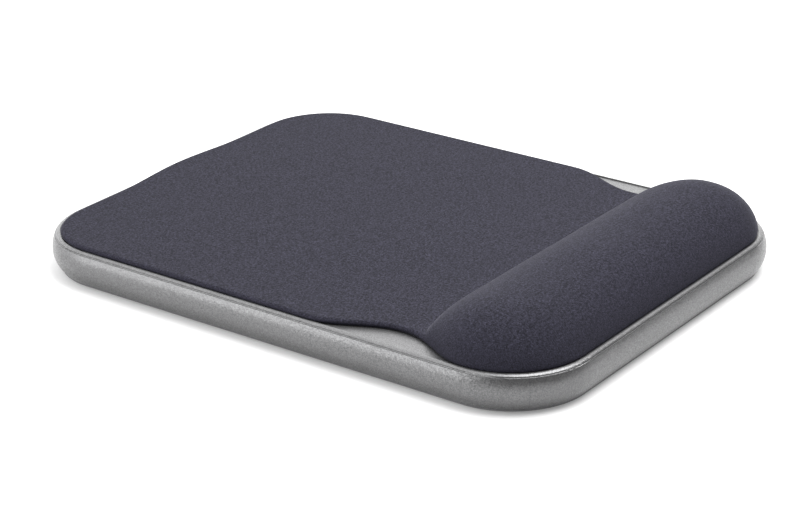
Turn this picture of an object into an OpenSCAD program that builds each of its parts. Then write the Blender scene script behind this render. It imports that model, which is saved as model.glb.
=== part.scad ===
// Mouse platform with a padded fabric surface and a raised gel wrist roll.
// Millimetres. +X is the user's right, +Y points away from the user and +Z is up.
// The origin lies on the table, under the centre of the platform.

/* [Platform] */
// Width of the deck lip's outline, left to right
lip_w = 205.2; // [200:0.2:224]
// Depth of the deck lip's outline, front to back
lip_d = 270; // [262:1:290]
// Corner radius of the deck lip's outline
lip_r = 35.6; // [33:0.2:37]
// Height of the shell, from its bottom edge to the lip
shell_h = 15.6; // [15:0.1:18]
// How far the rounded skirt stands out past the lip
bulge = 2.6; // [2.4:0.1:3.2]
// Wall thickness of the shell
wall = 2.4; // [2:0.1:3]
// Gap between the table and the shell's bottom edge
edge_gap = 1.8; // [1.8:0.1:2.6]

/* [Padded insert] */
// Height of the mousing surface above the lip
pad_rise = 1.9; // [1.8:0.1:4]
// Distance from the lip to the insert's front and side edges
edge_inset = 1.6; // [1.3:0.1:2.2]
// Distance from the lip to the insert's back edge
back_inset = 3.4; // [3.4:0.1:5]
// Depth of the curved bay in each side
bay_depth = 12.4; // [8:0.1:13]
// Height of the gentle bump in the back edge
bump_h = 2.2; // [1:0.1:2.2]
// Thickness of the fabric skin
skin = 0.7; // [0.5:0.1:0.9]

/* [Wrist roll] */
// Height of the roll's crest above the lip
roll_h = 18.2; // [15:0.1:21]
// Distance from the insert's front edge back to the crease behind the roll
roll_d = 62.2; // [56:0.2:66]
// Length over which each end of the roll rounds down
roll_end = 34; // [30:1:50]

/* [Underside] */
// Diameter of the screw bosses
boss_dia = 7; // [6:0.5:8]
// Diameter of the round back feet
foot_dia = 16; // [12:1:18]
// Length of the front feet
foot_len = 56; // [40:1:60]

/* [Hidden] */
$fn = 64;

// Heights above the table
shell_z = edge_gap;
lip_z = shell_z + shell_h;
deck_z = lip_z - 0.5;
deck_under_z = deck_z - wall;
cover_z = 0.9;
flange_z = cover_z + 0.7;
plug_z = flange_z + 1.6;
pad_boss_z = plug_z + 2;
tape_z = deck_z + 0.3;
backer_z = tape_z + 0.5;
pad_z = lip_z + pad_rise;
tray_z = backer_z + 1;
film_z = tray_z + 0.3;
rim_z = tray_z + 3;

// Skirt section: a large arc for the bullnose and a small one for the lip's shoulder
arc_r = 12.4;
arc_z = lip_z - 7.1;
arc_u = bulge - arc_r;
shoulder_r = 2.4;
shoulder_z = lip_z - shoulder_r;
shoulder_u = arc_u + sqrt(pow(arc_r - shoulder_r, 2) - pow(shoulder_z - arc_z, 2));
join_z = shoulder_z + shoulder_r * (shoulder_z - arc_z) / (arc_r - shoulder_r);
section_in = 8;
groove_r = 0.4;
groove_angle = 36;
// Distance from the lip's outline in to its upright inner face
lip_in = 1.2;

// Insert outline
half_w = lip_w / 2 - edge_inset;
front_y = edge_inset - lip_d / 2;
back_y = lip_d / 2 - back_inset;
insert_r = lip_r - edge_inset;
back_r = 33;
// Each side bay starts and ends here, and is deepest between the two middle places
bay_front = -98;
bay_deep_front = -64.5;
bay_deep_back = -61;
bay_back = -24;
bump_half = 44;
edge_roll_r = 2;
edge_steps = 3;

// Distances from the skin's outside in to the flat pieces under it
tape_inset = skin + 2;
backer_inset = skin + 1.3;

// Wrist roll
crease_y = front_y + roll_d;
roll_y = front_y + roll_d / 2;
roll_power = 2.24;
end_power = 3;
// Sets the roll's wall a little inside the mousing surface's, where both follow the bay
skin_gap = 0.15;
roll_top_z = lip_z + roll_h + 1;

// Cover, screws and feet
screw_spots = [
    for (x = [-86, 0, 86], y = [-104, 0, 104]) if (x != 0 || y != 0) [x, y]
];
// Distance from the lip's outline in to the cover's edge
cover_inset = 1.1;
cover_boss_dia = 11;
shank_dia = 2.9;
head_dia = 5.6;
head_h = 1.6;
seat_z = cover_z + 2.4;
screw_tip_z = seat_z + 9;
foot_h = 2;
foot_w = 12;
glue_t = 0.2;
pocket_z = foot_h + glue_t;
pocket_gap = 0.3;
front_foot_spots = [[-44, -121], [44, -121]];
rear_foot_spots = [[-78, 118], [78, 118]];

// Smooth step from 0 to 1
function ease(t) = t * t * (3 - 2 * t);

// Share of the bay's depth at a place along the side
function bay(y) =
    y <= bay_front || y >= bay_back ? 0
    : y < bay_deep_front ? ease((y - bay_front) / (bay_deep_front - bay_front))
    : y > bay_deep_back ? ease((bay_back - y) / (bay_back - bay_deep_back))
    : 1;

// Points on an arc around x, y, from one angle to another
function arc(x, y, r, from, to, steps) =
    [for (k = [0:steps]) let (a = from + (to - from) * k / steps) [x + r * cos(a), y + r * sin(a)]];

// Right-hand half of the insert's outline, from the front to the back
function right_half(inset) =
    let (x = half_w - inset, r = insert_r - inset, rear_r = back_r - inset)
    concat(
        arc(x - r, front_y + inset + r, r, -90, 0, 8),
        [for (y = [bay_front:6:bay_back]) [x - bay_depth * bay(y), y]],
        arc(x - rear_r, back_y - inset - rear_r, rear_r, 0, 90, 8)
    );

function mirrored(points) =
    [for (k = [len(points) - 1:-1:0]) [-points[k][0], points[k][1]]];

// Gentle bump in the middle of the back edge
function back_bump(inset) =
    [
        for (x = [bump_half:-5.5:-bump_half])
            [x, back_y - inset + bump_h * (1 + cos(180 * x / bump_half)) / 2]
    ];

function insert_outline(inset) =
    concat(right_half(inset), back_bump(inset), mirrored(right_half(inset)));

module rounded_rect(w, d, r) {
    union() {
        square([w - 2 * r, d], center = true);
        square([w, d - 2 * r], center = true);
        for (x = [-1, 1], y = [-1, 1])
            translate([x * (w / 2 - r), y * (d / 2 - r)]) circle(r);
    }
}

// Plate whose outline follows the lip at a distance inside it
module lip_plate(inset, z_low, z_top) {
    translate([0, 0, z_low])
        linear_extrude(z_top - z_low)
            rounded_rect(lip_w - 2 * inset, lip_d - 2 * inset, lip_r - inset);
}

// Plate whose outline follows the padded insert
module insert_plate(inset, z_low, z_top) {
    translate([0, 0, z_low])
        linear_extrude(z_top - z_low)
            polygon(insert_outline(inset));
}

// Carries a section, drawn with u outwards from the lip and z upwards, around the lip
module around_lip() {
    x = lip_w / 2 - lip_r;
    y = lip_d / 2 - lip_r;
    for (k = [[x, y, 0], [-x, y, 90], [-x, -y, 180], [x, -y, 270]])
        translate([k[0], k[1], 0])
            rotate([0, 0, k[2]])
                rotate_extrude(angle = 90)
                    translate([lip_r, 0]) children();
    for (k = [[x, -y, 0, 2 * y], [x, y, 90, 2 * x], [-x, y, 180, 2 * y], [-x, -y, 270, 2 * x]])
        translate([k[0], k[1], 0])
            rotate([0, 0, k[2]])
                rotate([90, 0, 0])
                    mirror([0, 0, 1])
                        linear_extrude(k[3])
                            translate([lip_r, 0]) children();
}

// Outer profile of the skirt: bullnose arc, shoulder arc and a fine groove below the lip
module skirt_section() {
    difference() {
        union() {
            intersection() {
                translate([arc_u, arc_z]) circle(arc_r, $fn = 128);
                translate([-section_in, shell_z]) square([section_in + bulge + 1, join_z - shell_z]);
            }
            intersection() {
                translate([shoulder_u, shoulder_z]) circle(shoulder_r);
                translate([-lip_in, shell_z]) square([lip_in + bulge, shell_h + 1]);
            }
            translate([-section_in, shell_z]) square([section_in + shoulder_u, deck_z - shell_z]);
        }
        translate([shoulder_u + shoulder_r * cos(groove_angle), shoulder_z + shoulder_r * sin(groove_angle)])
            circle(groove_r);
    }
}

// Crossed ribs that hold the deck flat
module deck_ribs() {
    rib_t = 1.4;
    rib_z = deck_under_z - 6;
    rib_h = 7;
    for (x = [-45, 0, 45])
        translate([x - rib_t / 2, wall - lip_d / 2 - 1, rib_z])
            cube([rib_t, lip_d - 2 * wall + 2, rib_h]);
    for (y = [-78, -39, 0, 39, 78])
        translate([wall - lip_w / 2 - 1, y - rib_t / 2, rib_z])
            cube([lip_w - 2 * wall + 2, rib_t, rib_h]);
}

module at_spots(spots) {
    for (s = spots)
        translate([s[0], s[1], 0]) children();
}

module base_shell() {
    color([0.60, 0.60, 0.62])
        difference() {
            union() {
                difference() {
                    union() {
                        around_lip() skirt_section();
                        lip_plate(section_in / 2, shell_z, deck_z);
                    }
                    lip_plate(wall, shell_z - 1, deck_under_z);
                }
                deck_ribs();
                at_spots(screw_spots)
                    translate([0, 0, pad_boss_z])
                        cylinder(d = boss_dia, h = deck_under_z + 1 - pad_boss_z);
            }
            at_spots(screw_spots)
                translate([0, 0, pad_boss_z - 1])
                    cylinder(d = shank_dia + 0.1, h = screw_tip_z + 1.5 - pad_boss_z);
        }
}

// Outline of a front foot, or of its pocket
module long_foot_shape(grow) {
    w = foot_w + 2 * grow;
    run = foot_len - foot_w;
    square([run, w], center = true);
    for (x = [-run / 2, run / 2])
        translate([x, 0]) circle(d = w);
}

module bottom_cover() {
    color([0.20, 0.20, 0.21])
        difference() {
            union() {
                lip_plate(cover_inset, cover_z, flange_z);
                lip_plate(wall + 0.2, flange_z, plug_z);
                at_spots(screw_spots)
                    translate([0, 0, cover_z + 0.5])
                        cylinder(d = cover_boss_dia, h = pad_boss_z - cover_z - 0.5);
            }
            at_spots(screw_spots) {
                translate([0, 0, cover_z - 1]) cylinder(d = head_dia + 0.8, h = seat_z - cover_z + 1);
                cylinder(d = shank_dia + 0.5, h = pad_boss_z + 1);
            }
            at_spots(front_foot_spots)
                linear_extrude(pocket_z) long_foot_shape(pocket_gap);
            at_spots(rear_foot_spots)
                cylinder(d = foot_dia + 2 * pocket_gap, h = pocket_z);
        }
}

// Pan-head self-tapping screw with a cross recess, its plain shank standing for the thread
module cover_screw() {
    difference() {
        union() {
            translate([0, 0, seat_z - head_h]) cylinder(d = head_dia, h = head_h);
            translate([0, 0, seat_z - 0.1]) cylinder(d = shank_dia, h = screw_tip_z - seat_z - 1.4);
            translate([0, 0, screw_tip_z - 1.5]) cylinder(d1 = shank_dia, d2 = 1, h = 1.5);
        }
        for (turn = [0, 90])
            rotate([0, 0, turn])
                translate([-1.6, -0.3, seat_z - head_h - 1]) cube([3.2, 0.6, 1.9]);
    }
}

module cover_screws() {
    color([0.55, 0.55, 0.57])
        at_spots(screw_spots) cover_screw();
}

module front_feet() {
    color([0.08, 0.08, 0.08])
        at_spots(front_foot_spots) {
            translate([0, 0, 0.4]) linear_extrude(foot_h - 0.4) long_foot_shape(0);
            linear_extrude(0.5) long_foot_shape(-0.5);
        }
}

module rear_feet() {
    color([0.08, 0.08, 0.08])
        at_spots(rear_foot_spots) {
            translate([0, 0, 0.4]) cylinder(d = foot_dia, h = foot_h - 0.4);
            cylinder(d1 = foot_dia - 1, d2 = foot_dia, h = 0.4);
        }
}

module foot_adhesive() {
    color([0.85, 0.82, 0.70]) {
        at_spots(front_foot_spots)
            translate([0, 0, foot_h]) linear_extrude(glue_t) long_foot_shape(-0.6);
        at_spots(rear_foot_spots)
            translate([0, 0, foot_h]) cylinder(d = foot_dia - 1.2, h = glue_t);
    }
}

// Double-sided sheet that holds the insert down on the deck
module deck_adhesive() {
    color([0.90, 0.90, 0.86])
        insert_plate(tape_inset, deck_z, tape_z);
}

// Stiff sheet that the skin is drawn over
module pad_backer() {
    color([0.16, 0.16, 0.17])
        insert_plate(backer_inset, tape_z, backer_z);
}

// Block with the insert's outline and a stepped, rounded top edge
module rounded_pad(inset, z_low, z_top, r) {
    for (k = [0:edge_steps])
        let (a = 90 * k / edge_steps)
            insert_plate(inset + r * (1 - cos(a)), z_low, z_top - r * (1 - sin(a)));
}

module behind_crease(y, z) {
    translate([-lip_w / 2, y, z]) cube([lip_w, lip_d, 40]);
}

module pad_foam() {
    color([0.30, 0.30, 0.32])
        intersection() {
            rounded_pad(skin + 0.1, backer_z, pad_z - skin - 0.1, edge_roll_r - skin);
            behind_crease(crease_y + 0.2, backer_z - 1);
        }
}

// Half the insert's width at a place along its side, a distance d inside its outline
function side_w(y, d) =
    let (r = insert_r - d, into_corner = max(0, r - (y - front_y - d)))
    half_w - d - bay_depth * bay(y) - r + sqrt(max(0, r * r - into_corner * into_corner));

// Share of full height, from 1 on the crest to 0 at the edge
function round_down(t, power) = max(0, 1 - pow(max(0, t), power));

// Height of the roll above the lip, for the form a distance d inside its outer surface
function roll_rise(x, y, d) =
    let (
        across = abs(y - roll_y) / (roll_d / 2 - d),
        from_end = 1 - (side_w(y, d) - abs(x)) / roll_end
    )
    (roll_h - d) * sqrt(round_down(across, roll_power) * round_down(from_end, end_power));

// Section along the roll at a place y, from the left end over the top to the right end
function roll_ring(y, d, base_z) =
    let (w = side_w(y, d))
    concat(
        [[-w, y, base_z]],
        [for (k = [-9:9]) let (x = w * sin(10 * k)) [x, y, lip_z + roll_rise(x, y, d)]],
        [[w, y, base_z]]
    );

// The roll as a closed form, a distance d inside its outer surface
module roll_form(d, base_z = deck_z) {
    half = roll_d / 2 - d;
    rings = [for (k = [-8:8]) roll_ring(roll_y + half * sin(90 * k / 8), d, base_z)];
    n = len(rings[0]);
    last = len(rings) - 1;
    sides = [
        for (i = [0:last - 1], k = [0:n - 1], side = [0, 1])
            let (a = i * n + k, b = i * n + (k + 1) % n)
                side == 0 ? [a, a + n, b + n] : [a, b + n, b]
    ];
    caps = [[for (k = [0:n - 1]) k], [for (k = [n - 1:-1:0]) last * n + k]];
    polyhedron(points = [for (ring = rings) each ring], faces = concat(sides, caps), convexity = 4);
}

module slab(z_low, z_top) {
    translate([-lip_w / 2, -lip_d / 2, z_low]) cube([lip_w, lip_d, z_top - z_low]);
}

module roll_above(d, z_low) {
    intersection() {
        roll_form(d);
        slab(z_low, roll_top_z);
    }
}

// Semi-rigid tray under the gel
module gel_tray() {
    color([0.85, 0.85, 0.86])
        difference() {
            intersection() {
                roll_form(skin + 0.4);
                slab(backer_z, rim_z);
            }
            roll_above(skin + 1.5, tray_z);
        }
}

module gel_film_lower() {
    color([0.75, 0.80, 0.85])
        intersection() {
            roll_form(skin + 1.6);
            slab(tray_z, film_z);
        }
}

module gel_core() {
    color([0.25, 0.45, 0.75])
        roll_above(skin + 2.2, film_z);
}

module gel_film_upper() {
    color([0.70, 0.80, 0.90])
        difference() {
            roll_above(skin + 1.8, film_z);
            roll_form(skin + 2.2);
        }
}

// Thin comfort foam between the gel and the skin
module wrist_foam() {
    color([0.32, 0.32, 0.34])
        difference() {
            roll_above(skin + 0.3, rim_z);
            roll_form(skin + 1.7);
        }
}

// One knitted skin over the mousing surface and the roll, open underneath
module fabric_cover() {
    color([0.27, 0.27, 0.31])
        difference() {
            union() {
                intersection() {
                    rounded_pad(0, deck_z, pad_z, edge_roll_r);
                    behind_crease(crease_y - 3, deck_z - 1);
                }
                roll_form(skin_gap);
            }
            intersection() {
                rounded_pad(skin, deck_z - 1, pad_z - skin, edge_roll_r - skin);
                behind_crease(crease_y - 6, deck_z - 2);
            }
            roll_form(skin + skin_gap, deck_z - 1);
        }
}

base_shell();
bottom_cover();
cover_screws();
front_feet();
rear_feet();
foot_adhesive();
deck_adhesive();
pad_backer();
pad_foam();
gel_tray();
gel_film_lower();
gel_core();
gel_film_upper();
wrist_foam();
fabric_cover();
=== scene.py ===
import math

import bmesh
import bpy
import numpy as np
from mathutils import Matrix, Vector
from mathutils.geometry import delaunay_2d_cdt


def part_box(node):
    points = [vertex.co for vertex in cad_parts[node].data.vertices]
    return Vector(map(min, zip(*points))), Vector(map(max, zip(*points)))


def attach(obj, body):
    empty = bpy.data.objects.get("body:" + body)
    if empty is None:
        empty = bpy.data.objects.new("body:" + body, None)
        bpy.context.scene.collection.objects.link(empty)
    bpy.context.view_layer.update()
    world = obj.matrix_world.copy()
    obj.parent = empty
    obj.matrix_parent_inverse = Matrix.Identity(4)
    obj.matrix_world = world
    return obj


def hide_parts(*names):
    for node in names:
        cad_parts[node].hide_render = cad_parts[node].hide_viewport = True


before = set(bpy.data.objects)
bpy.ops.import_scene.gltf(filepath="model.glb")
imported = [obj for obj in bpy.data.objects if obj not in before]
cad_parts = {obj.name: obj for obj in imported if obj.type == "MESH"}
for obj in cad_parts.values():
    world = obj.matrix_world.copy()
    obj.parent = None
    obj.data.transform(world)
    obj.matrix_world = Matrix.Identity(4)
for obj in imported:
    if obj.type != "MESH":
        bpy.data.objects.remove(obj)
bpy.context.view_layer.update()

MM = 0.001
ROOT = "root"


# ---- Sizes, in millimetres; some are read from the CAD parts' boxes ----

def node_box(name):
    low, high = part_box(name)
    return np.array(low) / MM, np.array(high) / MM


skin_low, skin_high = node_box("fabric_cover")
shell_low, shell_high = node_box("base_shell")

# Levels
DECK_Z = skin_low[2]
LIP_Z = shell_high[2]
PAD_Z = LIP_Z + 1.9

# Outline of the padded insert. Its foot stands on the deck; its edge leans out over the lip.
HALF_W = skin_high[0]
FRONT_Y = skin_low[1]
FOOT_BUMP, EDGE_BUMP = 2.2, 3.2
BACK_Y = skin_high[1] - FOOT_BUMP
INSERT_R = 34.0
BACK_R_LEFT, BACK_R_RIGHT = 32.0, 34.0
BUMP_HALF = 44.0
OVERHANG = 0.45
EDGE_R = 1.5
SKIN_T = 0.5

# Each side bay starts and ends here, and is deepest between the two middle places
BAY_FRONT, BAY_DEEP_FRONT, BAY_DEEP_BACK, BAY_BACK = -98.0, -64.5, -61.0, -24.0
BAY_DEPTH = 12.4

# Wrist roll
ROLL_H = skin_high[2] - LIP_Z
ROLL_D = 62.2
ROLL_Y = FRONT_Y + ROLL_D / 2
CREASE_Y = FRONT_Y + ROLL_D
ROLL_END = 34.0
ROLL_CORNER = 6.0
ROLL_POWER, END_POWER = 2.24, 3.0
CREASE_BLEND = 1.4

# How deep the padding's slight dents go
ROLL_DENTS, PAD_DENTS = 0.16, 0.05

# The skin's turned-in hem: distance inside the foot's outline, and height above the deck
HEM_STEPS = ((2.0, 0.02), (0.9, 0.02), (0.4, 0.08), (0.1, 0.22), (0.0, 0.4))
# The skin's rolled edge: distances inside the edge's outline
EDGE_STEPS = (0.0, 0.08, 0.2, 0.38, 0.62, 0.95, 1.4, 1.9, 2.5, 3.2, 4.0, 5.0, 6.2)
EDGE_REACH = EDGE_STEPS[-1]
MESH_PITCH = 1.7

# Distances from the outside of the skin in to the soft pieces under it
FOAM_SIDE = 0.8
WRIST_FOAM_IN, WRIST_FOAM_UNDER = 1.0, 1.8
FILM_IN, FILM_UNDER = 1.9, 2.2
GEL_IN = 2.3

# On the corner diagonals, y is this much more than x
CORNER_DIAGONAL = shell_high[1] - shell_high[0]
MOULD_LINE = 0.2


# ---- Small helpers ----

def new_object(name, verts_mm, faces, smooth=True):
    mesh = bpy.data.meshes.new(name)
    mesh.from_pydata((np.asarray(verts_mm) * MM).tolist(), [], faces)
    mesh.validate()
    mesh.update()
    obj = bpy.data.objects.new(name, mesh)
    bpy.context.scene.collection.objects.link(obj)
    if smooth:
        mesh.polygons.foreach_set("use_smooth", [True] * len(mesh.polygons))
    return obj


def set_material(obj, material):
    obj.data.materials.clear()
    obj.data.materials.append(material)


def ease(t):
    """Smooth step from 0 to 1."""
    t = np.clip(t, 0, 1)
    return t * t * (3 - 2 * t)


# ---- Padded insert: outline and height ----

def bay_share(y):
    """Share of the side bay's depth at a place along the side."""
    y = np.asarray(y, float)
    from_front = ease((y - BAY_FRONT) / (BAY_DEEP_FRONT - BAY_FRONT))
    from_back = ease((BAY_BACK - y) / (BAY_BACK - BAY_DEEP_BACK))
    return np.minimum(from_front, from_back)


def side_width(y):
    """Half the skin's width at a place along its side, round its front corner and its bay."""
    into_corner = np.clip(INSERT_R - (y - FRONT_Y), 0, INSERT_R)
    corner = INSERT_R - np.sqrt(INSERT_R**2 - into_corner**2)
    return HALF_W + OVERHANG - BAY_DEPTH * bay_share(y) - corner


def arc(x, y, r, start, end, steps):
    """Points on an arc around x, y, from one angle to another."""
    a = np.radians(np.linspace(start, end, steps))
    return np.stack([x + r * np.cos(a), y + r * np.sin(a)], 1)


def side_run(grow, back_r):
    """The insert's right-hand side, from the middle of its front round to its back."""
    bay_y = np.linspace(BAY_FRONT, BAY_BACK, 80)
    x = HALF_W + grow
    return np.concatenate([
        arc(x - INSERT_R, FRONT_Y + INSERT_R, INSERT_R, -90, 0, 60),
        np.stack([x - BAY_DEPTH * bay_share(bay_y), bay_y], 1),
        arc(x - back_r, BACK_Y + grow - back_r, back_r, 0, 90, 60),
    ])


def insert_outline(grow, bump_h, count=720):
    """The insert's outline, counter-clockwise from above, as evenly spaced points."""
    bump_x = np.linspace(BUMP_HALF, -BUMP_HALF, 60)
    bump = BACK_Y + grow + bump_h * (1 + np.cos(np.pi * bump_x / BUMP_HALF)) / 2
    left = side_run(grow, BACK_R_LEFT)[::-1] * [-1, 1]
    loop = np.concatenate([side_run(grow, BACK_R_RIGHT), np.stack([bump_x, bump], 1), left])
    loop = np.concatenate([loop, loop[:1]])
    run = np.concatenate([[0], np.cumsum(np.hypot(*np.diff(loop, axis=0).T))])
    at = np.linspace(0, run[-1], count, endpoint=False)
    even = np.stack([np.interp(at, run, loop[:, 0]), np.interp(at, run, loop[:, 1])], 1)
    for _ in range(6):
        even = (np.roll(even, 1, 0) + 2 * even + np.roll(even, -1, 0)) / 4
    return even


def outward(loop):
    """Unit normals pointing out of a counter-clockwise loop."""
    along = np.roll(loop, -1, 0) - np.roll(loop, 1, 0)
    normal = np.stack([along[:, 1], -along[:, 0]], 1)
    return normal / np.linalg.norm(normal, axis=1)[:, None]


def soft_max(a, b, k):
    """The larger of two heights, with a fillet of about k where they meet."""
    h = np.clip(0.5 + 0.5 * (a - b) / k, 0, 1)
    return b + (a - b) * h + k * h * (1 - h)


def roll_width(y):
    """Half the roll's length at a place across it; its corners at the crease are rounded."""
    into_corner = np.clip(ROLL_CORNER - (CREASE_Y - y), 0, ROLL_CORNER)
    return side_width(y) - ROLL_CORNER + np.sqrt(ROLL_CORNER**2 - into_corner**2)


def soft_waves(x, y):
    """Slight unevenness of the padding under the skin, between about -1 and 1."""
    long_wave = np.sin(x / 19.0 + 0.8 * np.sin(y / 23.0))
    cross_wave = np.sin(y / 13.0 + x / 41.0 + 1.3)
    return 0.6 * long_wave * cross_wave + 0.4 * np.sin(x / 8.7 + y / 15.0)


def roll_height(x, y):
    """Height of the wrist roll's surface above the table; the lip's height where there is no roll."""
    across = np.abs(y - ROLL_Y) / (ROLL_D / 2)
    from_end = 1 - (roll_width(y) - np.abs(x)) / ROLL_END
    share = (1 - across**ROLL_POWER) * (1 - np.clip(from_end, 0, None) ** END_POWER)
    inside = (across < 1) & (from_end < 1)
    share = np.clip(share, 0, None)
    rise = ROLL_H * np.sqrt(share) - ROLL_DENTS * share * (1 + soft_waves(x, y))
    return np.where(inside, LIP_Z + rise, LIP_Z)


def pad_height(d):
    """Height of the mousing surface at a distance d inside the skin's edge."""
    into_edge = np.clip(EDGE_R - d, 0, EDGE_R)
    return PAD_Z - EDGE_R + np.sqrt(EDGE_R**2 - into_edge**2)


def skin_height(x, y, d):
    """Height of the skin's outside at a place, a distance d inside the skin's edge."""
    pad = pad_height(d) - PAD_DENTS * np.clip(d / 6.0, 0, 1) * (1 + soft_waves(x * 0.6, y * 0.6))
    return soft_max(roll_height(x, y), pad, CREASE_BLEND)


def inside_loop(points, loop):
    """Which points lie inside a closed loop, by counting crossings."""
    inside = np.zeros(len(points), bool)
    nxt = np.roll(loop, -1, 0)
    for (x0, y0), (x1, y1) in zip(loop, nxt):
        if y1 == y0:
            continue
        crosses = (y0 > points[:, 1]) != (y1 > points[:, 1])
        at = x0 + (points[:, 1] - y0) * (x1 - x0) / (y1 - y0)
        inside ^= crosses & (points[:, 0] < at)
    return inside


def ring_faces(rings, count):
    """Quads that join a stack of closed rings, each of the same number of points."""
    faces = []
    for i in range(rings - 1):
        for k in range(count):
            n = (k + 1) % count
            faces.append((i * count + k, i * count + n, (i + 1) * count + n, (i + 1) * count + k))
    return faces


def skin_rings():
    """Loops of the skin from the hem, up the bulging side and over the rolled edge."""
    foot = insert_outline(0.0, FOOT_BUMP)
    edge = insert_outline(OVERHANG, EDGE_BUMP)
    count = len(foot)
    foot_out, edge_out = outward(foot), outward(edge)
    rings = []
    for d, z in HEM_STEPS:
        rings.append(np.column_stack([foot - foot_out * d, np.full(count, DECK_Z + z)]))
    rings.append(np.column_stack([(foot + edge) / 2, np.full(count, LIP_Z + 0.16)]))
    for d in EDGE_STEPS:
        flat = edge - edge_out * d
        height = skin_height(flat[:, 0], flat[:, 1], np.full(count, d))
        rings.append(np.column_stack([flat, height]))
    return rings, edge, edge_out


def add_top(verts, faces, ring_count, loop, normal, pitch):
    """Fills the last ring with a fine, even mesh that follows the skin's height."""
    count = len(loop)
    inner = verts[-1][:, :2]
    clear = loop - normal * (EDGE_REACH + 0.6 * pitch)
    xs = np.arange(-HALF_W, HALF_W, pitch)
    ys = np.arange(FRONT_Y, BACK_Y + EDGE_BUMP, pitch * 0.866)
    grid = np.array([[x + (j % 2) * pitch / 2, y] for j, y in enumerate(ys) for x in xs])
    flat = np.concatenate([inner, grid[inside_loop(grid, clear)]])
    made = delaunay_2d_cdt([Vector(p) for p in flat], [], [list(range(count))], 1, 1e-6)
    made_xy = np.array([tuple(v) for v in made[0]])
    z = skin_height(made_xy[:, 0], made_xy[:, 1], np.full(len(made_xy), EDGE_REACH))
    index = []
    for i, sources in enumerate(made[3]):
        ring = [s for s in sources if s < count]
        index.append((ring_count - 1) * count + ring[0] if ring else ring_count * count + i)
    verts.append(np.column_stack([made_xy, z]))
    faces.extend(tuple(index[v] for v in f) for f in made[2])


def tidy_mesh(obj):
    """Drops unused points, joins doubled ones and turns every face outwards."""
    bm = bmesh.new()
    bm.from_mesh(obj.data)
    loose = [v for v in bm.verts if not v.link_faces]
    bmesh.ops.delete(bm, geom=loose, context="VERTS")
    bmesh.ops.remove_doubles(bm, verts=bm.verts, dist=1e-7)
    bmesh.ops.recalc_face_normals(bm, faces=bm.faces)
    bm.to_mesh(obj.data)
    bm.free()


def apply_modifiers(obj):
    """Makes the modifiers' result the object's own mesh."""
    graph = bpy.context.evaluated_depsgraph_get()
    made = bpy.data.meshes.new_from_object(obj.evaluated_get(graph))
    obj.modifiers.clear()
    obj.data = made


def build_skin():
    """The knitted skin as a closed thin shell over the mousing surface and the roll."""
    rings, edge, edge_out = skin_rings()
    ring_count = len(rings)
    faces = ring_faces(ring_count, len(edge))
    add_top(rings, faces, ring_count, edge, edge_out, MESH_PITCH)
    skin = new_object("fabric_cover_skin", np.concatenate(rings), faces)
    tidy_mesh(skin)
    shell = skin.modifiers.new("thickness", "SOLIDIFY")
    shell.thickness = SKIN_T * MM
    shell.offset = -1.0
    apply_modifiers(skin)
    return skin


# ---- Soft pieces inside ----

def dome_grid(inset, z_low, rows=56, columns=120):
    """A grid of points over the roll, a distance inside its surface, that ends on the level z_low."""
    rise = ROLL_H - inset
    low_share = ((z_low - LIP_Z) / rise) ** 2
    half = ROLL_D / 2 - inset
    reach = (1 - low_share) ** (1 / ROLL_POWER)
    across = reach * np.sin(np.linspace(-np.pi / 2, np.pi / 2, rows))
    y = ROLL_Y + half * across
    section = 1 - np.abs(across) ** ROLL_POWER
    end = np.clip(1 - low_share / section, 0, 1) ** (1 / END_POWER)
    half_x = side_width(y) - inset - (1 - end) * ROLL_END
    x = half_x[:, None] * np.sin(np.linspace(-np.pi / 2, np.pi / 2, columns))[None, :]
    y = np.repeat(y[:, None], columns, 1)
    from_end = 1 - ((side_width(y) - inset) - np.abs(x)) / ROLL_END
    share = section[:, None] * (1 - np.clip(from_end, 0, 1) ** END_POWER)
    z = np.maximum(LIP_Z + rise * np.sqrt(np.clip(share, 0, None)), z_low)
    for rim in (z[0], z[-1], z[:, 0], z[:, -1]):
        rim[:] = z_low
    return np.stack([x, y, z], -1)


def between_grids(name, top, bottom):
    """A closed piece between two grids of the same size."""
    rows, columns = top.shape[:2]
    count = rows * columns
    at = np.arange(count).reshape(rows, columns)
    faces = []
    for i in range(rows - 1):
        for k in range(columns - 1):
            quad = (at[i, k], at[i, k + 1], at[i + 1, k + 1], at[i + 1, k])
            faces.append(tuple(int(v) for v in quad))
            faces.append(tuple(int(v) + count for v in quad[::-1]))
    rim = list(at[0]) + list(at[1:, -1]) + list(at[-1, -2::-1]) + list(at[-2:0:-1, 0])
    for a, b in zip(rim, rim[1:] + rim[:1]):
        faces.append((int(b), int(a), int(a) + count, int(b) + count))
    piece = new_object(name, np.concatenate([top.reshape(-1, 3), bottom.reshape(-1, 3)]), faces)
    tidy_mesh(piece)
    return piece


def dome_piece(name, node, inset, inner_inset=None):
    """Soft piece under the roll: solid to its flat bottom, or a layer over an inner dome."""
    z_low = node_box(node)[0][2]
    top = dome_grid(inset, z_low)
    if inner_inset is None:
        bottom = top.copy()
        bottom[..., 2] = z_low
    else:
        bottom = dome_grid(inner_inset, z_low)
    return between_grids(name, top, bottom)


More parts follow.
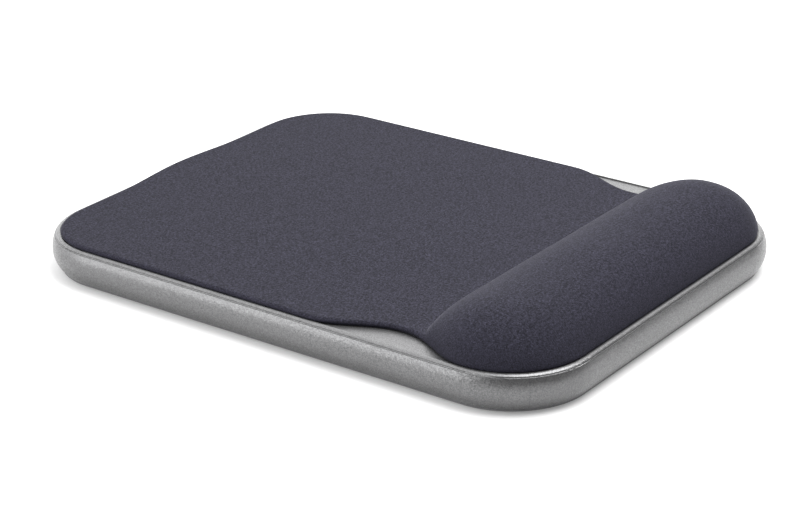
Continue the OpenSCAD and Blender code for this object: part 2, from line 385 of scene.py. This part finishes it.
def build_pad_foam():
    """Foam sheet under the mousing surface, with softly rounded edges."""
    low_z = node_box("pad_foam")[0][2]
    high_z = PAD_Z - SKIN_T - 0.1
    loop = insert_outline(0.0, FOOT_BUMP)
    loop = loop - outward(loop) * FOAM_SIDE
    loop = np.roll(loop, -int(np.argmax(loop[:, 1] > CREASE_Y)), 0)
    loop = loop[loop[:, 1] > CREASE_Y]
    inward = loop.mean(axis=0) - loop
    inward = inward / np.linalg.norm(inward, axis=1)[:, None]
    lower_edge = ((0.25, low_z), (0.0, low_z + 0.25))
    upper_edge = ((0.0, high_z - 0.35), (0.15, high_z - 0.1), (0.45, high_z))
    rings = []
    for d, z in lower_edge + upper_edge:
        rings.append(np.column_stack([loop + inward * d, np.full(len(loop), z)]))
    count = len(loop)
    faces = ring_faces(len(rings), count)
    faces.append(tuple(range(count))[::-1])
    faces.append(tuple(range((len(rings) - 1) * count, len(rings) * count)))
    foam = new_object("pad_foam_sheet", np.concatenate(rings), faces)
    tidy_mesh(foam)
    return foam


# ---- Materials ----

class Shader:
    """A short way to lay out a node material, with textures in the object's own metres."""

    def __init__(self, name):
        self.material = bpy.data.materials.new(name)
        self.material.use_nodes = True
        self.tree = self.material.node_tree
        self.tree.nodes.clear()
        self.out = self.node("ShaderNodeOutputMaterial")
        self.bsdf = self.node("ShaderNodeBsdfPrincipled")
        self.link(self.bsdf.outputs[0], self.out.inputs[0])

    def node(self, kind, **values):
        made = self.tree.nodes.new(kind)
        for key, value in values.items():
            if hasattr(made, key):
                setattr(made, key, value)
            else:
                made.inputs[key.replace("_", " ")].default_value = value
        return made

    def link(self, source, target):
        self.tree.links.new(source, target)

    def set(self, **values):
        """Sets inputs of the main shader by name, with _ for a space."""
        for key, value in values.items():
            self.bsdf.inputs[key.replace("_", " ")].default_value = value

    def position(self):
        return self.node("ShaderNodeTexCoord").outputs["Object"]

    def noise(self, scale, detail=2.0, roughness=0.5):
        made = self.node("ShaderNodeTexNoise", Scale=scale, Detail=detail, Roughness=roughness)
        self.link(self.position(), made.inputs["Vector"])
        return made.outputs["Fac"]

    def ramp(self, source, low, high, color_low, color_high):
        made = self.node("ShaderNodeValToRGB")
        made.color_ramp.elements[0].position = low
        made.color_ramp.elements[0].color = color_low
        made.color_ramp.elements[1].position = high
        made.color_ramp.elements[1].color = color_high
        self.link(source, made.inputs[0])
        return made.outputs[0]

    def range(self, source, low, high):
        made = self.node("ShaderNodeMapRange")
        made.inputs["To Min"].default_value = low
        made.inputs["To Max"].default_value = high
        self.link(source, made.inputs["Value"])
        return made.outputs[0]

    def multiply(self, first, second, share=1.0):
        made = self.node("ShaderNodeMix", data_type="RGBA", blend_type="MULTIPLY")
        if isinstance(share, float):
            made.inputs["Factor"].default_value = share
        else:
            self.link(share, made.inputs["Factor"])
        self.link(first, made.inputs[6])
        self.link(second, made.inputs[7])
        return made.outputs[2]

    def math(self, operation, *values):
        made = self.node("ShaderNodeMath", operation=operation)
        for slot, value in enumerate(values):
            if isinstance(value, (int, float)):
                made.inputs[slot].default_value = value
            else:
                self.link(value, made.inputs[slot])
        return made.outputs[0]

    def stitches(self, wale, course, yarn):
        """Rows of knitted loops: columns a wale wide, swaying once a course, with yarn noise."""
        parts = self.node("ShaderNodeSeparateXYZ")
        self.link(self.position(), parts.inputs[0])
        sway = self.math("SINE", self.math("MULTIPLY", parts.outputs[1], 2 * math.pi / course))
        across = self.math("MULTIPLY", parts.outputs[0], 2 * math.pi / wale)
        loops = self.math("SINE", self.math("ADD", across, self.math("MULTIPLY", sway, 1.2)))
        return self.math("ADD", self.math("MULTIPLY", loops, 0.35), self.math("MULTIPLY", yarn, 1.3))

    def tilt(self, random_color, amount):
        """Leans the surface a little, by a different amount in every flake."""
        centred = self.node("ShaderNodeVectorMath", operation="SUBTRACT")
        centred.inputs[1].default_value = (0.5, 0.5, 0.5)
        self.link(random_color, centred.inputs[0])
        scaled = self.node("ShaderNodeVectorMath", operation="SCALE")
        scaled.inputs["Scale"].default_value = amount
        self.link(centred.outputs[0], scaled.inputs[0])
        leaned = self.node("ShaderNodeVectorMath", operation="ADD")
        self.link(self.node("ShaderNodeNewGeometry").outputs["Normal"], leaned.inputs[0])
        self.link(scaled.outputs[0], leaned.inputs[1])
        unit = self.node("ShaderNodeVectorMath", operation="NORMALIZE")
        self.link(leaned.outputs[0], unit.inputs[0])
        self.link(unit.outputs[0], self.bsdf.inputs["Normal"])

    def bump(self, source, strength, distance):
        made = self.node("ShaderNodeBump", Strength=strength, Distance=distance)
        self.link(source, made.inputs["Height"])
        self.link(made.outputs[0], self.bsdf.inputs["Normal"])


def rgba(r, g, b):
    return (r, g, b, 1.0)


def knit_material():
    """Fine heathered charcoal knit with a soft sheen, its heather plainest where it faces sideways."""
    s = Shader("knit_fabric")
    yarn = s.noise(2300.0, 2.0, 0.6)
    heather = s.noise(1000.0, 2.0, 0.6)
    facing_up = s.node("ShaderNodeSeparateXYZ")
    s.link(s.node("ShaderNodeNewGeometry").outputs["Normal"], facing_up.inputs[0])
    tone = s.ramp(yarn, 0.32, 0.70, rgba(0.009, 0.009, 0.012), rgba(0.033, 0.0315, 0.048))
    shade = s.ramp(heather, 0.34, 0.66, rgba(0.44, 0.44, 0.44), rgba(1.45, 1.45, 1.45))
    share = s.math("POWER", s.math("MAXIMUM", facing_up.outputs[2], 0.2), 1.5)
    s.link(s.multiply(tone, shade, share), s.bsdf.inputs["Base Color"])
    s.set(Roughness=0.9, Sheen_Weight=0.12, Sheen_Roughness=0.30)
    s.bsdf.inputs["Sheen Tint"].default_value = rgba(0.80, 0.80, 0.92)
    s.bsdf.inputs["Specular IOR Level"].default_value = 0.1
    s.bump(s.stitches(0.00095, 0.00075, yarn), 0.20, 0.00018)
    return s.material


def paint_material():
    """Silver-grey paint with fine metal flakes, and a faint mould line down each corner."""
    s = Shader("platform_paint")
    flakes = s.node("ShaderNodeTexVoronoi", Scale=2800.0)
    s.link(s.position(), flakes.inputs["Vector"])
    tone = s.ramp(flakes.outputs["Color"], 0.0, 1.0, rgba(0.095, 0.095, 0.097), rgba(0.19, 0.19, 0.193))
    parts = s.node("ShaderNodeSeparateXYZ")
    s.link(s.position(), parts.inputs[0])
    x, y = (s.math("ABSOLUTE", parts.outputs[k]) for k in (0, 1))
    on_line = s.math("COMPARE", s.math("SUBTRACT", y, x), CORNER_DIAGONAL * MM, MOULD_LINE * MM)
    s.link(s.multiply(tone, s.range(on_line, 1.0, 0.72)), s.bsdf.inputs["Base Color"])
    s.set(Metallic=0.8, Roughness=0.36, Coat_Weight=0.20, Coat_Roughness=0.20)
    s.tilt(flakes.outputs["Color"], 0.20)
    return s.material


def plastic_material(name, color, rough, grain_scale, grain_strength):
    """Moulded plastic or sheet with a fine surface grain."""
    s = Shader(name)
    grain = s.noise(grain_scale, 3.0)
    low = rgba(*[c * 0.9 for c in color])
    high = rgba(*[min(1.0, c * 1.1) for c in color])
    s.link(s.ramp(grain, 0.3, 0.7, low, high), s.bsdf.inputs["Base Color"])
    s.link(s.range(grain, rough - 0.06, rough + 0.06), s.bsdf.inputs["Roughness"])
    s.bump(grain, grain_strength, 0.0001)
    return s.material


def steel_material():
    """Bright zinc-plated steel."""
    material = plastic_material("screw_steel", (0.55, 0.55, 0.57), 0.32, 4000.0, 0.05)
    material.node_tree.nodes["Principled BSDF"].inputs["Metallic"].default_value = 1.0
    return material


def gel_material(name, color, alpha):
    """Clear, slightly cloudy gel or film."""
    s = Shader(name)
    clouds = s.noise(60.0, 2.0)
    low = rgba(*[c * 0.92 for c in color])
    s.link(s.ramp(clouds, 0.3, 0.7, low, rgba(*color)), s.bsdf.inputs["Base Color"])
    s.set(Roughness=0.18, Alpha=alpha)
    s.bsdf.inputs["Subsurface Weight"].default_value = 0.2
    s.bump(clouds, 0.03, 0.0005)
    return s.material


# ---- Studio ----

CAMERA_AZIMUTH = -53.54
CAMERA_ELEVATION = 23.48
CAMERA_ROLL = -0.73
CAMERA_DISTANCE = 1043.1
CAMERA_SHIFT = (-3.6, -16.2)
CAMERA_LENS = 106.2
CAMERA_AIM_Z = 17.5


def view_axes(azimuth, elevation, roll):
    """Level right and up, the same two after the roll, and the direction back to the camera."""
    a, e, r = (math.radians(v) for v in (azimuth, elevation, roll))
    back = Vector((math.sin(a) * math.cos(e), -math.cos(a) * math.cos(e), math.sin(e)))
    right = Vector((math.cos(a), math.sin(a), 0))
    up = back.cross(right)
    turned_right = math.cos(r) * right + math.sin(r) * up
    turned_up = math.cos(r) * up - math.sin(r) * right
    return right, up, turned_right, turned_up, back


def add_camera():
    right, up, turned_right, turned_up, back = view_axes(CAMERA_AZIMUTH, CAMERA_ELEVATION, CAMERA_ROLL)
    data = bpy.data.cameras.new("camera")
    data.lens = CAMERA_LENS
    data.sensor_width = 36.0
    data.sensor_fit = "HORIZONTAL"
    data.clip_start = 0.05
    camera = bpy.data.objects.new("camera", data)
    place = back * CAMERA_DISTANCE + right * CAMERA_SHIFT[0] + up * CAMERA_SHIFT[1]
    place = (place + Vector((0, 0, CAMERA_AIM_Z))) * MM
    camera.matrix_world = Matrix((
        (turned_right.x, turned_up.x, back.x, place.x),
        (turned_right.y, turned_up.y, back.y, place.y),
        (turned_right.z, turned_up.z, back.z, place.z),
        (0, 0, 0, 1),
    ))
    bpy.context.scene.collection.objects.link(camera)
    bpy.context.scene.camera = camera


def add_area(name, place, target, size_x, size_y, power):
    data = bpy.data.lights.new(name, "AREA")
    data.shape = "RECTANGLE"
    data.size = size_x
    data.size_y = size_y
    data.energy = power
    lamp = bpy.data.objects.new(name, data)
    lamp.location = place
    aim = Vector(target) - Vector(place)
    lamp.rotation_euler = aim.to_track_quat("-Z", "Y").to_euler()
    bpy.context.scene.collection.objects.link(lamp)


def add_floor():
    """Pale floor that glows a little, so that only a narrow contact shadow is left."""
    s = Shader("studio_floor")
    s.set(Roughness=0.9)
    s.bsdf.inputs["Base Color"].default_value = rgba(0.66, 0.66, 0.66)
    s.bsdf.inputs["Emission Color"].default_value = rgba(1.0, 1.0, 1.0)
    s.bsdf.inputs["Emission Strength"].default_value = 0.22
    s.bsdf.inputs["Specular IOR Level"].default_value = 0.1
    size = 6000.0
    corners = [(-size, -size, 0), (size, -size, 0), (size, size, 0), (-size, size, 0)]
    floor = new_object("studio_floor", corners, [(0, 1, 2, 3)], smooth=False)
    set_material(floor, s.material)


def add_world():
    """Plain surroundings, bright behind the object and dark in front of it."""
    world = bpy.data.worlds.new("studio")
    bpy.context.scene.world = world
    world.use_nodes = True
    tree = world.node_tree
    tree.nodes.clear()
    out = tree.nodes.new("ShaderNodeOutputWorld")
    background = tree.nodes.new("ShaderNodeBackground")
    coord = tree.nodes.new("ShaderNodeTexCoord")
    toward = tree.nodes.new("ShaderNodeVectorMath")
    toward.operation = "DOT_PRODUCT"
    toward.inputs[1].default_value = Vector((0.12, 1.0, 0.10)).normalized()
    tree.links.new(coord.outputs["Generated"], toward.inputs[0])
    ramp = tree.nodes.new("ShaderNodeMapRange")
    ramp.interpolation_type = "SMOOTHSTEP"
    ramp.inputs["From Min"].default_value = -0.35
    ramp.inputs["From Max"].default_value = 0.5
    ramp.inputs["To Min"].default_value = 0.14
    ramp.inputs["To Max"].default_value = 2.25
    tree.links.new(toward.outputs["Value"], ramp.inputs["Value"])
    background.inputs["Color"].default_value = (1, 1, 1, 1)
    tree.links.new(ramp.outputs[0], background.inputs["Strength"])
    tree.links.new(background.outputs[0], out.inputs[0])


def add_studio():
    add_floor()
    add_world()
    add_area("key_softbox", (0.18, -0.32, 1.00), (0, 0, 0.02), 0.9, 0.8, 17.0)
    add_area("side_softbox", (-1.00, 0.65, 0.22), (0, 0, 0.02), 0.6, 0.30, 2.2)
    bpy.context.scene.view_settings.view_transform = "Standard"
    bpy.context.scene.view_settings.look = "None"


# ---- Assembly ----

def place_piece(piece, node_name, material):
    """Gives a new piece its material and body, and hides the CAD node that it takes the place of."""
    set_material(piece, material)
    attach(piece, ROOT)
    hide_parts(node_name)


def add_soft_pieces(foam, film):
    gel = gel_material("gel", (0.10, 0.22, 0.55), 0.85)
    wrist_foam = dome_piece("wrist_foam_layer", "wrist_foam", WRIST_FOAM_IN, WRIST_FOAM_UNDER)
    upper_film = dome_piece("gel_film_upper_skin", "gel_film_upper", FILM_IN, FILM_UNDER)
    place_piece(build_skin(), "fabric_cover", knit_material())
    place_piece(build_pad_foam(), "pad_foam", foam)
    place_piece(wrist_foam, "wrist_foam", foam)
    place_piece(upper_film, "gel_film_upper", film)
    place_piece(dome_piece("gel_core_body", "gel_core", GEL_IN), "gel_core", gel)


def dress_nodes(film):
    """Gives every CAD node that stays its material and smooth shading."""
    rubber = plastic_material("foot_rubber", (0.03, 0.03, 0.03), 0.8, 2500.0, 0.3)
    adhesive = plastic_material("adhesive", (0.80, 0.78, 0.70), 0.7, 1500.0, 0.2)
    looks = {
        "base_shell": paint_material(),
        "bottom_cover": plastic_material("cover_plastic", (0.12, 0.12, 0.125), 0.5, 3000.0, 0.2),
        "cover_screws": steel_material(),
        "front_feet": rubber,
        "rear_feet": rubber,
        "foot_adhesive": adhesive,
        "deck_adhesive": adhesive,
        "pad_backer": plastic_material("backer_plastic", (0.10, 0.10, 0.11), 0.45, 2500.0, 0.1),
        "gel_tray": plastic_material("tray_plastic", (0.72, 0.72, 0.74), 0.4, 2500.0, 0.1),
        "gel_film_lower": film,
    }
    for name, material in looks.items():
        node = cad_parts[name]
        set_material(node, material)
        node.data.set_sharp_from_angle(angle=math.radians(32))
        node.data.polygons.foreach_set("use_smooth", [True] * len(node.data.polygons))


foam_look = plastic_material("foam", (0.16, 0.16, 0.17), 0.95, 1800.0, 0.6)
film_look = gel_material("gel_film", (0.70, 0.76, 0.84), 0.5)
add_soft_pieces(foam_look, film_look)
dress_nodes(film_look)
add_studio()
add_camera()
